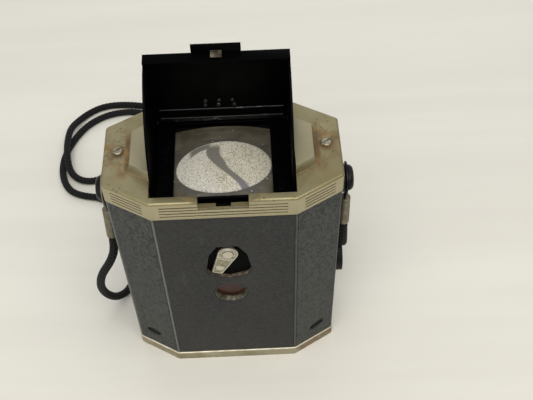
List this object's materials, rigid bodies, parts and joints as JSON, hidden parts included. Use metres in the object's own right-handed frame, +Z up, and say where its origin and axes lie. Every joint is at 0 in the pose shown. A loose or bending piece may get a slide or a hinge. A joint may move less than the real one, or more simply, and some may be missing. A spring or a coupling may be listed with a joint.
{
  "type": "box camera",
  "caption": "Octagonal box camera with a folding waist-level viewing hood, red film window, cast top and base, leatherette sides and a braided neck cord.",
  "frame": {"origin": "middle of the base's underside, on the tripod socket's axis", "axes": "+Z up; the lenses look along -Y; +Y towards the operator behind the camera; +X to the operator's left"},
  "size_m": [0.1597, 0.1791, 0.1681],
  "materials": {
    "casting": "tarnished nickel-coloured casting, satin",
    "shell": "satin",
    "leatherette": "fine pressed grain",
    "black_enamel": "gloss",
    "bright_nickel": "worn nickel plate",
    "steel": "brushed",
    "spool_enamel": "satin",
    "black_knob": "gloss",
    "dull_brass": "dull",
    "glass": "clear",
    "silvered": "mirror",
    "red_celluloid": "translucent red",
    "cord_braid": "braided"
  },
  "bodies": {
    "camera": {"base_casting": "casting", "body_shell": "shell", "covering_back": "leatherette", "covering_back_left": "leatherette", "covering_back_right": "leatherette", "covering_front": "leatherette", "covering_front_left": "leatherette", "covering_front_right": "leatherette", "covering_left": "leatherette", "covering_right": "leatherette", "film_carrier": "black_enamel", "finder_box": "black_enamel", "finder_lens": "glass", "finder_mask": "black_enamel", "finder_mirror": "silvered", "front_plate": "bright_nickel", "guide_bar": "steel", "hood_pins": "bright_nickel", "lens_bezel": "bright_nickel", "lever_plate": "black_enamel", "light_box": "black_enamel", "neck_cord": "cord_braid", "pressure_plate": "black_enamel", "red_window": "red_celluloid", "release_pin": "bright_nickel", "shutter_housing": "black_enamel", "shutter_spring": "steel", "stop_plate": "black_enamel", "strap_clip_left": "dull_brass", "strap_clip_right": "dull_brass", "strap_ferrule_left": "dull_brass", "strap_ferrule_right": "dull_brass", "strap_stud_left": "black_knob", "strap_stud_right": "black_knob", "supply_pin_left": "steel", "supply_pin_right": "steel", "takeup_pin_left": "steel", "taking_lens": "glass", "top_casting": "casting", "top_screws": "bright_nickel", "tripod_bush": "bright_nickel", "viewing_lens": "glass", "viewing_ring": "bright_nickel", "winding_bush": "bright_nickel", "window_ring": "bright_nickel"},
    "hood": {"hood_lid": "black_enamel", "hood_clip": "bright_nickel"},
    "window": {"window_lever": "bright_nickel", "window_blind": "black_enamel", "window_rivet": "bright_nickel"},
    "release": {"release_lever": "bright_nickel"},
    "shutter": {"shutter_disc": "steel"},
    "winding": {"winding_knob": "black_knob", "winding_shaft": "steel", "takeup_spool": "spool_enamel"},
    "supply": {"supply_spool": "spool_enamel"},
    "catch_left": {"catch_back_left": "steel"},
    "catch_right": {"catch_back_right": "steel"}
  },
  "joints": [
    {"name": "hood_hinge", "type": "hinge", "parent": "camera", "child": "hood", "pos_m": [0, -0.0205, 0.1215], "axis": [1, 0, 0], "range_deg": [-83, 0]},
    {"name": "window_lever_turn", "type": "hinge", "parent": "camera", "child": "window", "pos_m": [0, 0.0255, 0.0888], "axis": [0, 1, 0], "range_deg": [0, 42.8]},
    {"name": "release_swing", "type": "hinge", "parent": "camera", "child": "release", "pos_m": [-0.008, -0.03, 0.066], "axis": [0, -1, 0], "range_deg": [0, 14], "stiffness_Nm_per_rad": 0.01},
    {"name": "shutter_turn", "type": "hinge", "parent": "camera", "child": "shutter", "pos_m": [0, -0.0285, 0.0515], "axis": [0, -1, 0], "range_deg": [-70, 0]},
    {"name": "winding_turn", "type": "hinge", "parent": "camera", "child": "winding", "pos_m": [-0.05, -0.01, 0.035], "axis": [1, 0, 0], "continuous": true},
    {"name": "supply_turn", "type": "hinge", "parent": "camera", "child": "supply", "pos_m": [0, 0.012, 0.092], "axis": [1, 0, 0], "continuous": true},
    {"name": "catch_left_press", "type": "slide", "parent": "camera", "child": "catch_left", "axis": [-0.5005, -0.8657, 0], "range_m": [0, 0.001], "stiffness_N_per_m": 300},
    {"name": "catch_right_press", "type": "slide", "parent": "camera", "child": "catch_right", "axis": [0.5005, -0.8657, 0], "range_m": [0, 0.001], "stiffness_N_per_m": 300}
  ],
  "couplings": [
    {"joint": "shutter_turn", "follows": "release_swing", "ratio": -5}
  ]
}
